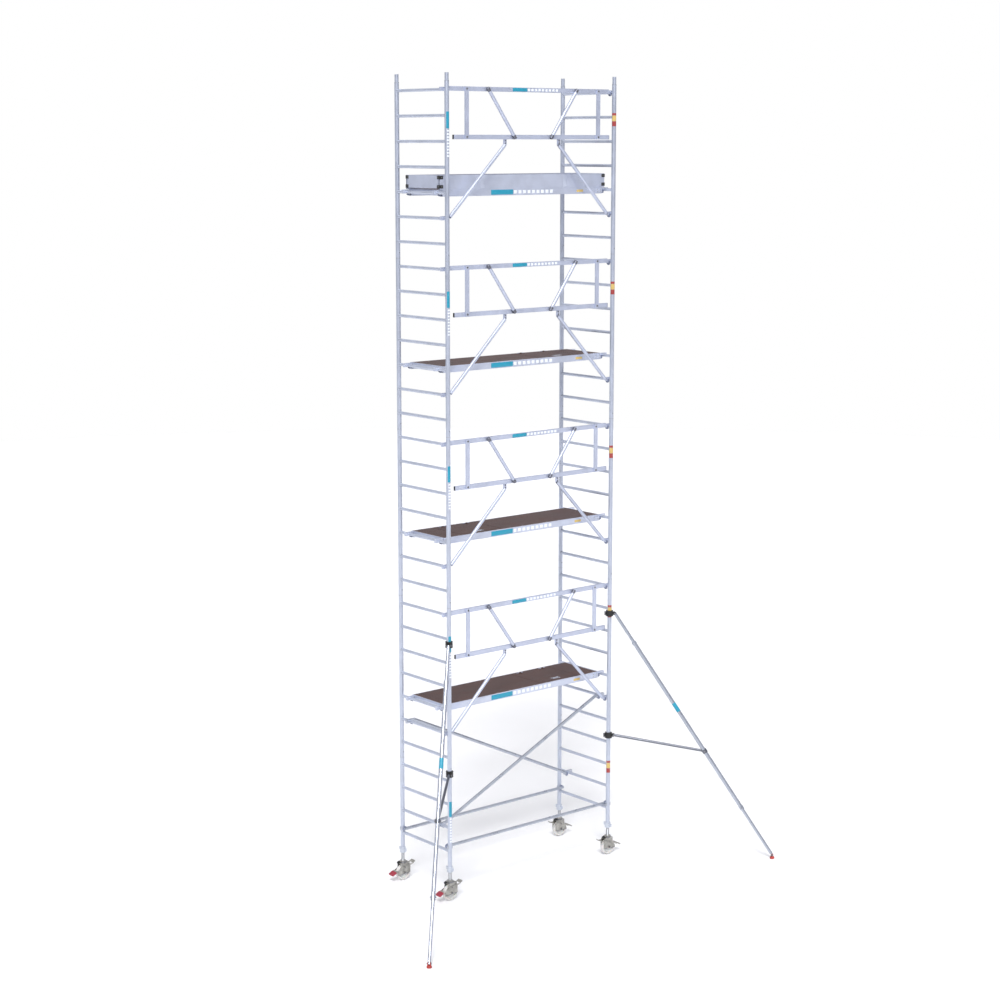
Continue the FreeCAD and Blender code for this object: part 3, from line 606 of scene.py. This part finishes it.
def platform_details():
    """Beam ribs, end plates, deck rivets, claw latches and plain labels on every platform."""
    for n, rung in enumerate(PLATFORM_RUNGS, 1):
        low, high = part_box("platform_frame_%d" % n)
        deck = rung_z(rung) + DECK_RISE
        bottom = deck - BEAM_TALL
        ribs, screws, latches, plate = Shape(), Shape(), Shape(), Shape()
        for y, way in ((low.y, -1), (high.y, 1)):
            for z, tall in ((bottom + 0.004, 0.004), (deck - 0.004, 0.005)):
                ribs.bar((-PLATFORM_END, y - way * 0.001, z - tall / 2),
                         (PLATFORM_END, y + way * 0.0016, z + tall / 2), 0.0005)
            for side in (-1, 1):
                plate.bar((side * PLATFORM_END, y - way * 0.001, bottom + 0.012),
                          (side * 1.105, y + way * 0.0024, deck - 0.014), 0.0008)
                for dx in (0.020, 0.075):
                    for z in (bottom + 0.024, deck - 0.026):
                        screws.rivet((side * (PLATFORM_END - dx), y + way * 0.0024, z),
                                     (0, way, 0), 0.005)
        for side in (-1, 1):
            for y in (low.y + 0.025, high.y - 0.025):
                latch(latches, side, y, rung_z(rung), 0.015)
        for step in range(13):
            x = -1.14 + 0.19 * step
            for y in (low.y + 0.029, high.y - 0.029):
                screws.rivet((x, y, deck), (0, 0, 1), 0.006)
        screws.finish("deck_%d_rivets" % n, M["zinc"], "tower", "pin_steel")
        plate.finish("platform_%d_end_plates" % n, M["beam"], "tower", "beam_aluminium")
        ribs.finish("platform_%d_ribs" % n, M["beam"], "tower", "beam_aluminium")
        latches.finish("platform_%d_latches" % n, M["latch"], "tower", "beam_aluminium")
        label_strip("platform_%d" % n, low.y, bottom + 0.010, deck - 0.010, -0.50, -0.175, 0.44)
        sign = Shape()
        sign.bar((0.80, low.y - 0.0018, bottom + 0.022), (0.90, low.y - 0.0002, deck - 0.026),
                 0.0003)
        sign.finish("platform_%d_sign" % n, M["label_yellow"], "tower")
        hatch_details(n, deck)


def hatch_details(n, deck):
    """Thin edge trim and a pull with its rim on a hatch."""
    low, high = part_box("hatch_%d" % n)
    x = (low.x + high.x) / 2
    front = Y_MIDDLE - 0.255
    y = front + 0.060
    trim, pull = Shape(), Shape()
    for a, b in (((low.x, front + 0.0008), (low.x + 0.004, front + 0.508)),
                 ((high.x - 0.004, front + 0.0008), (high.x, front + 0.508)),
                 ((low.x + 0.004, front + 0.0008), (high.x - 0.004, front + 0.005))):
        trim.bar((*a, deck - 0.0005), (*b, deck + 0.0012), 0.0004)
    trim.finish("hatch_%d_trim" % n, M["deck"], "hatch_%d" % n, "deck_plywood")
    pull.bar((x - 0.058, y - 0.028, deck - 0.0002), (x + 0.058, y - 0.020, deck + 0.0016), 0.0006)
    pull.bar((x - 0.058, y + 0.020, deck - 0.0002), (x + 0.058, y + 0.028, deck + 0.0016), 0.0006)
    pull.bar((x - 0.058, y - 0.020, deck - 0.0002), (x - 0.050, y + 0.020, deck + 0.0016), 0.0006)
    pull.bar((x + 0.050, y - 0.020, deck - 0.0002), (x + 0.058, y + 0.020, deck + 0.0016), 0.0006)
    pull.rod((x - 0.04, y, deck - 0.0005), (x + 0.04, y, deck - 0.0005), 0.0055, 20)
    for dx in (-0.054, 0.054):
        pull.rivet((x + dx, y - 0.024, deck + 0.0016), (0, 0, 1), 0.0035)
        pull.rivet((x + dx, y + 0.024, deck + 0.0016), (0, 0, 1), 0.0035)
    pull.finish("hatch_%d_pull" % n, M["nut"], "hatch_%d" % n, "pin_steel")


def toe_board_details():
    """Edge ribs, joint plates and the rivets of the corner clips."""
    low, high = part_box("toe_boards")
    tall = high.z - low.z
    ribs, pins = Shape(), Shape()
    for y, way in ((low.y, -1), (high.y, 1)):
        for z in (low.z + 0.006, high.z - 0.006):
            ribs.bar((low.x + 0.001, y - way * 0.001, z - 0.003),
                     (high.x - 0.001, y + way * 0.0014, z + 0.003), 0.0006)
        for x in (-0.62, 0.62):
            ribs.bar((x - 0.030, y - way * 0.001, low.z + 0.012),
                     (x + 0.030, y + way * 0.0010, high.z - 0.012), 0.0006)
    for x, way in ((low.x, -1), (high.x, 1)):
        for z in (low.z + 0.022, high.z - 0.006):
            ribs.bar((x - way * 0.001, low.y + 0.048, z - 0.003),
                     (x + way * 0.0014, high.y - 0.048, z + 0.003), 0.0006)
    ribs.finish("toe_board_ribs", M["beam"], "tower", "beam_aluminium")
    for x, dx in ((low.x, -1), (high.x, 1)):
        for y, dy in ((low.y, -1), (high.y, 1)):
            for z in (low.z + 0.033, low.z + tall - 0.024):
                pins.rivet((x - dx * 0.025, y + dy * 0.004, z), (0, dy, 0), 0.005)
                pins.rivet((x + dx * 0.004, y - dy * 0.025, z), (dx, 0, 0), 0.005)
    pins.finish("toe_board_rivets", M["zinc"], "tower", "pin_steel")


def brace_details():
    """Claw latches on the diagonal braces, end caps and locking catches on the level ones."""
    for place, y in (("front", Y_FRONT + 0.160), ("back", Y_BACK - 0.160)):
        rungs = (2, 6) if place == "front" else (6, 2)
        latches, caps = Shape(), Shape()
        for side, number in ((-1, rungs[0]), (1, rungs[1])):
            latch(latches, side, y, rung_z(number), 0.015)
        latches.finish("diagonal_%s_latches" % place, M["latch"], "tower", "brace_aluminium")
        low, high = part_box("horizontal_brace_" + place)
        z = (low.z + high.z) / 2
        tube_y = high.y - 0.019 if place == "front" else low.y + 0.019
        for side in (-1, 1):
            edge = side * 1.269
            caps.rod((edge - side * 0.002, tube_y, z), (edge + side * 0.004, tube_y, z), 0.0188)
            x = X_LEFT if side < 0 else X_RIGHT
            caps.bar((x - 0.020, tube_y - 0.012, z + 0.0175),
                     (x + 0.020, tube_y + 0.012, z + 0.024), 0.003)
            caps.rod((x, tube_y, z + 0.022), (x, tube_y, z + 0.030), 0.008)
        caps.finish("horizontal_%s_caps" % place, M["latch"], "tower", "brace_aluminium")


# ---- casters ----
HUB_Y = 0.0102                # face of the wheel's web, out from its middle
HUB_RIBS = 8
FORK_RIVETS_X = (-0.032, 0.052)
KNOB_OUTER = Vector((-0.0785, 0, 0.2238))   # ends of the knob's axis from the caster's axis
KNOB_INNER = Vector((-0.047, 0, 0.2356))
KNOB_R = 0.0146
ROCKER_Z = 0.165              # brake rocker's pivot
PEDAL_SLOPE = math.radians(27.8)
PEDAL = (0.149, 0.1125)       # middle of the pedal: out from the caster's axis, and height
LEVER = (0.150, 0.2075)
TREAD_RIBS = 6


def caster_details():
    """Hub, bolts, bearing seals, knob and brake tread; turn is +1 with the pedal towards -X."""
    for corner, (x, y) in CORNERS.items():
        turn = 1 if corner.endswith("l") else -1
        wheel_low, wheel_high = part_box("wheel_" + corner)
        z = (wheel_low.z + wheel_high.z) / 2
        hub, metal, knob, seal = Shape(), Shape(), Shape(), Shape()
        for side in (-1, 1):
            hub.lathe((x, y + side * HUB_Y, z), (0, side, 0),
                      [(0.038, 0.0), (0.066, 0.0), (0.064, 0.0022), (0.040, 0.0022)])
            for n in range(HUB_RIBS):
                a = 2 * math.pi * n / HUB_RIBS
                out = Vector((math.cos(a), 0, math.sin(a)))
                start = Vector((x, y + side * 0.012, z)) + out * 0.034
                hub.rod(start, start + out * 0.035, 0.0035, 10)
            hub.lathe((x, y + side * 0.0265, z), (0, side, 0),
                      [(0.012, -0.001), (0.020, -0.001), (0.020, 0.0008), (0.012, 0.0008)])
            metal.bolt((x, y + side * 0.041, z), (0, side, 0), 0.009)
            metal.bolt((x, y + side * 0.045, ROCKER_Z), (0, side, 0), 0.006)
            for dx in FORK_RIVETS_X:
                metal.rivet((x + turn * dx, y + side * 0.033, 0.196), (0, side, 0), 0.006)
            metal.bar((x - turn * 0.094, y + side * 0.0325, 0.0785),
                      (x + turn * 0.080, y + side * 0.0345, 0.0845), 0.0008,
                      Matrix.Rotation(-turn * 0.065, 4, "Y"))
        hub.finish("wheel_%s_hub" % corner, M["nylon"], "wheel_" + corner, "wheel_nylon")
        metal.finish("fork_%s_bolts" % corner, M["dark_zinc"], "fork_" + corner, "pin_steel")
        seal.lathe((x, y, 0.2165), (0, 0, 1), [(0.0405, 0.0), (0.0425, 0.002), (0.0425, 0.010),
                                               (0.0405, 0.012)])
        seal.lathe((x, y, 0.229), (0, 0, 1), [(0.0402, 0.0), (0.0412, 0.001), (0.0412, 0.004),
                                              (0.0402, 0.005)])
        seal.finish("fork_%s_seals" % corner, M["dark_zinc"], "fork_" + corner, "pin_steel")
        outer = Vector((x, y, 0)) + KNOB_OUTER
        along = (KNOB_INNER - KNOB_OUTER).normalized()
        up = along.cross(Vector((0, 1, 0)))
        knob.rod(outer - along * 0.003, outer + along * 0.026, KNOB_R, 28)
        knob.rod(outer - along * 0.006, outer - along * 0.003, 0.010, 28, KNOB_R)
        for n in range(10):
            a = 2 * math.pi * n / 10
            start = outer + (Vector((0, 1, 0)) * math.cos(a) + up * math.sin(a)) * 0.0144
            knob.rod(start, start + along * 0.024, 0.0018, 8)
        knob.finish("fork_%s_knob" % corner, M["black"], "fork_" + corner, "black_plastic")
        brake_tread(corner, x, y, turn)


def brake_tread(corner, x, y, turn):
    """Ribbed tread that wraps the brake pedal: red on the left casters, plain on the right."""
    left = turn > 0
    pad, grip = Shape(), Shape()
    slope = Matrix.Rotation(-turn * PEDAL_SLOPE, 4, "Y")
    half = Vector((0.032, 0.0405, 0.0115 if left else 0.0072))
    centre = Vector((x - turn * PEDAL[0], y, PEDAL[1])) + slope @ Vector((-turn * 0.008, 0, 0))
    pad.bar(centre - half, centre + half, 0.004 if left else 0.002, slope)
    for n in range(TREAD_RIBS):
        rib = slope @ Vector((-0.025 + 0.010 * n, 0, half.z + 0.0008))
        size = Vector((0.0022, 0.036, 0.0014))
        pad.bar(centre + rib - size, centre + rib + size, 0.0008, slope)
    pad.finish("brake_%s_pad" % corner, M["red"] if left else M["zinc"], "brake_" + corner,
               "red_plastic" if left else "zinc_steel")
    lever = Vector((x + turn * LEVER[0], y, LEVER[1]))
    for n in range(3):
        at = lever + Vector((turn * (-0.014 + 0.010 * n), 0, 0.006 * n - 0.0055))
        grip.bar(at - Vector((0.0015, 0.034, 0.0015)), at + Vector((0.0015, 0.034, 0.0015)),
                 0.0006)
    grip.finish("brake_%s_grip" % corner, M["zinc"], "brake_" + corner, "zinc_steel")


def leg_details():
    """Rims on the legs' flanges, bands and grip ribs on their wing nuts."""
    for corner, (x, y) in CORNERS.items():
        rim = Shape()
        rim.lathe((x, y, 0.2382), (0, 0, 1), [(0.0335, 0.0), (0.0350, 0.001), (0.0350, 0.006),
                                              (0.0335, 0.007)])
        rim.lathe((x, y, 0.246), (0, 0, 1), [(0.0188, -0.001), (0.0240, 0.0), (0.0200, 0.004),
                                             (0.0188, 0.005)])
        rim.finish("leg_%s_rim" % corner, M["zinc"], "leg_" + corner, "zinc_steel")
        nut = Shape()
        low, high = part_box("wing_nut_" + corner)
        for z, tall in ((low.z, 0.006), (high.z - 0.010, 0.008)):
            nut.lathe((x, y, z), (0, 0, 1), [(0.0325, 0.0005), (0.0350, 0.002),
                                             (0.0350, tall - 0.002), (0.0325, tall)])
        for n in range(12):
            a = 2 * math.pi * n / 12 + 0.26
            if abs(math.cos(a)) < 0.35:
                continue
            px, py = x + 0.033 * math.cos(a), y + 0.033 * math.sin(a)
            nut.rod((px, py, low.z + 0.006), (px, py, high.z - 0.010), 0.003, 8)
        nut.finish("wing_nut_%s_ribs" % corner, M["nut"], "wing_nut_" + corner, "nut_aluminium")


# ---- stabilizers ----
PIVOT_OUT = 0.066             # coupler pivots, out from the upright's axis
COUPLER_HALF = 0.035          # half height of a coupler
FOOT_PIVOT_Z = 0.045
STRUT_SHARE = 0.567           # places along the tube, as shares from top pivot to foot
BUTTON_SHARE = 0.801
LABEL_SHARE = 0.368
COLLAR_SHARES = (0.118, 0.798)


def stabilizer_plane(side):
    """Foot of the upright's axis and the level direction to the stabilizer's foot."""
    low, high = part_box("stabilizer_%s_foot" % side)
    x = X_LEFT if side == "left" else X_RIGHT
    start = Vector((x, Y_FRONT, 0))
    out = Vector(((low.x + high.x) / 2, (low.y + high.y) / 2, 0)) - start
    return start, out.normalized(), out.length


def stabilizer_details():
    """Clamp bolts and rims, joint bolts, lock button, label, sleeve collars and foot tread."""
    for side in ("left", "right"):
        start, out, reach = stabilizer_plane(side)
        cross = Vector((-out.y, out.x, 0))
        low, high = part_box("stabilizer_%s_couplers" % side)
        top = start + out * PIVOT_OUT + Vector((0, 0, high.z - COUPLER_HALF))
        foot = start + out * reach + Vector((0, 0, FOOT_PIVOT_Z))
        run = (foot - top).normalized()
        body = "stabilizer_" + side
        metal, black = Shape(), Shape()
        for z in (high.z - COUPLER_HALF, low.z + COUPLER_HALF):
            pivot = start + out * PIVOT_OUT + Vector((0, 0, z))
            for way in (-1, 1):
                metal.bolt(pivot + cross * 0.026 * way, cross * way, 0.010)
            tail = start - out * 0.052 + Vector((0, 0, z))
            metal.bolt(tail + cross * 0.009, cross, 0.009)
            metal.rod(tail - cross * 0.030, tail - cross * 0.009, 0.005, 16)
            for height in (-0.034, -0.0035, 0.027):
                black.lathe(start + Vector((0, 0, z + height)), (0, 0, 1),
                            [(0.0415, 0.0), (0.0440, 0.001), (0.0440, 0.006), (0.0415, 0.007)])
            wing = tail - cross * 0.028
            for up in (-1, 1):
                metal.bar(wing + Vector((-0.006, -0.006, 0.004 * up)),
                          wing + Vector((0.006, 0.006, 0.022 * up)), 0.002)
        joint = top + (foot - top) * STRUT_SHARE
        metal.bolt(joint + cross * 0.031, cross, 0.009)
        metal.bolt(joint - cross * 0.031, -cross, 0.009)
        button = top + (foot - top) * BUTTON_SHARE
        metal.rod(button + cross * 0.026, button + cross * 0.036, 0.007, 20)
        metal.rod(button - cross * 0.036, button - cross * 0.026, 0.007, 20)
        metal.finish("stabilizer_%s_bolts" % side, M["dark_zinc"], body, "pin_steel")
        black.finish("stabilizer_%s_clamp_rims" % side, M["black"], body, "black_steel")
        label, grip = Shape(), Shape()
        label.lathe(top + (foot - top) * LABEL_SHARE, run,
                    [(0.0241, 0.0), (0.0246, 0.0005), (0.0246, 0.1235), (0.0241, 0.124)])
        label.finish("stabilizer_%s_label" % side, M["cyan"], body)
        for share in COLLAR_SHARES:
            at = top + (foot - top) * share
            grip.lathe(at, run, [(0.0245, -0.004), (0.0280, -0.002), (0.0280, 0.030),
                                 (0.0245, 0.034)])
        grip.finish("stabilizer_%s_collars" % side, M["brace"], body, "brace_aluminium")
        tread = Shape()
        base = Vector((foot.x, foot.y, 0))
        for height in (0.004, 0.009, 0.014):
            tread.lathe(base + Vector((0, 0, height)), (0, 0, 1),
                        [(0.0270, -0.0012), (0.02795, 0.0), (0.0270, 0.0012)])
        tread.finish("stabilizer_%s_tread" % side, M["foot"], body + "_foot", "red_rubber")
        pin = Shape()
        for way in (-1, 1):
            pin.bolt(foot + cross * 0.018 * way, cross * way, 0.010)
        pin.finish("stabilizer_%s_foot_bolts" % side, M["dark_zinc"], body + "_foot",
                   "pin_steel")


# ---- floor, light and camera ----
FLOOR_R = 40.0
FLOOR_SIDES = 96
CAMERA_OUT = Vector((-15.673, -18.523, 8.1018))   # from the middle of the lowest rungs
CAMERA_DOWN = 0.16991
CAMERA_HEADING = -0.69870


def add_object(name, data):
    made = bpy.data.objects.new(name, data)
    bpy.context.scene.collection.objects.link(made)
    return made


def floor():
    """Round white floor."""
    mesh = bpy.data.meshes.new("floor")
    rim = [(FLOOR_R * math.cos(a), FLOOR_R * math.sin(a), 0)
           for a in (2 * math.pi * n / FLOOR_SIDES for n in range(FLOOR_SIDES))]
    mesh.from_pydata(rim, [], [tuple(range(FLOOR_SIDES))])
    n = Nodes("floor_white", (0.93, 0.93, 0.94), 0.0, 0.8)
    n.link(n.ramp(n.noise(0.6), (0.92, 0.92, 0.93), (0.94, 0.94, 0.95)),
           n.shader.inputs["Base Color"])
    mesh.materials.append(n.material)
    add_object("floor", mesh)


def studio_world():
    """White backdrop; what lights the tower is a glow that grows towards the top."""
    world = bpy.data.worlds.new("studio")
    bpy.context.scene.world = world
    world.use_nodes = True
    tree = world.node_tree
    backdrop = tree.nodes["Background"]
    backdrop.inputs["Color"].default_value = (1.0, 1.0, 1.0, 1.0)
    backdrop.inputs["Strength"].default_value = 1.0
    glow = tree.nodes.new("ShaderNodeBackground")
    glow.inputs["Strength"].default_value = 0.70
    place = tree.nodes.new("ShaderNodeTexCoord")
    split = tree.nodes.new("ShaderNodeSeparateXYZ")
    tree.links.new(place.outputs["Generated"], split.inputs["Vector"])
    sky = tree.nodes.new("ShaderNodeValToRGB")
    stops = sky.color_ramp.elements
    stops[0].position, stops[0].color = 0.0, (0.50, 0.52, 0.60, 1)
    stops[1].position, stops[1].color = 0.75, (1.25, 1.25, 1.28, 1)
    tree.links.new(split.outputs["Z"], sky.inputs["Fac"])
    tree.links.new(sky.outputs["Color"], glow.inputs["Color"])
    path = tree.nodes.new("ShaderNodeLightPath")
    either = tree.nodes.new("ShaderNodeMixShader")
    tree.links.new(path.outputs["Is Camera Ray"], either.inputs["Fac"])
    tree.links.new(glow.outputs["Background"], either.inputs[1])
    tree.links.new(backdrop.outputs["Background"], either.inputs[2])
    tree.links.new(either.outputs["Shader"], tree.nodes["World Output"].inputs["Surface"])
    bpy.context.scene.view_settings.view_transform = "Standard"


def lamps():
    """Soft sun from the upper right and a large lamp at the left front."""
    sun = bpy.data.lights.new("sun", "SUN")
    sun.energy, sun.angle, sun.specular_factor = 2.0, math.radians(16), 0.35
    turn = [math.radians(a) for a in (38, -22, -18)]
    add_object("sun", sun).rotation_euler = turn
    key = bpy.data.lights.new("key", "AREA")
    key.energy, key.size, key.specular_factor = 450.0, 7.0, 0.4
    light = add_object("key", key)
    light.location = (-12, -16, 14)
    aim = Vector((0, 0, 4.5)) - light.location
    light.rotation_mode = "QUATERNION"
    light.rotation_quaternion = aim.to_track_quat("-Z", "Y")


def camera():
    """Eye 24 m away, left of the front and level with the top guardrail, 9.7 degrees down."""
    data = bpy.data.cameras.new("camera")
    data.sensor_width, data.lens = 36.0, 74.9
    data.clip_end = 400.0
    eye = add_object("camera", data)
    eye.location = Vector((0, Y_MIDDLE, FIRST_RUNG)) + CAMERA_OUT
    eye.rotation_euler = (math.pi / 2 - CAMERA_DOWN, 0.0, CAMERA_HEADING)
    bpy.context.scene.camera = eye


paint_nodes()
frame_details()
upright_labels()
guardrail_details()
platform_details()
toe_board_details()
brace_details()
caster_details()
leg_details()
stabilizer_details()
floor()
studio_world()
lamps()
camera()

bpy.context.view_layer.update()
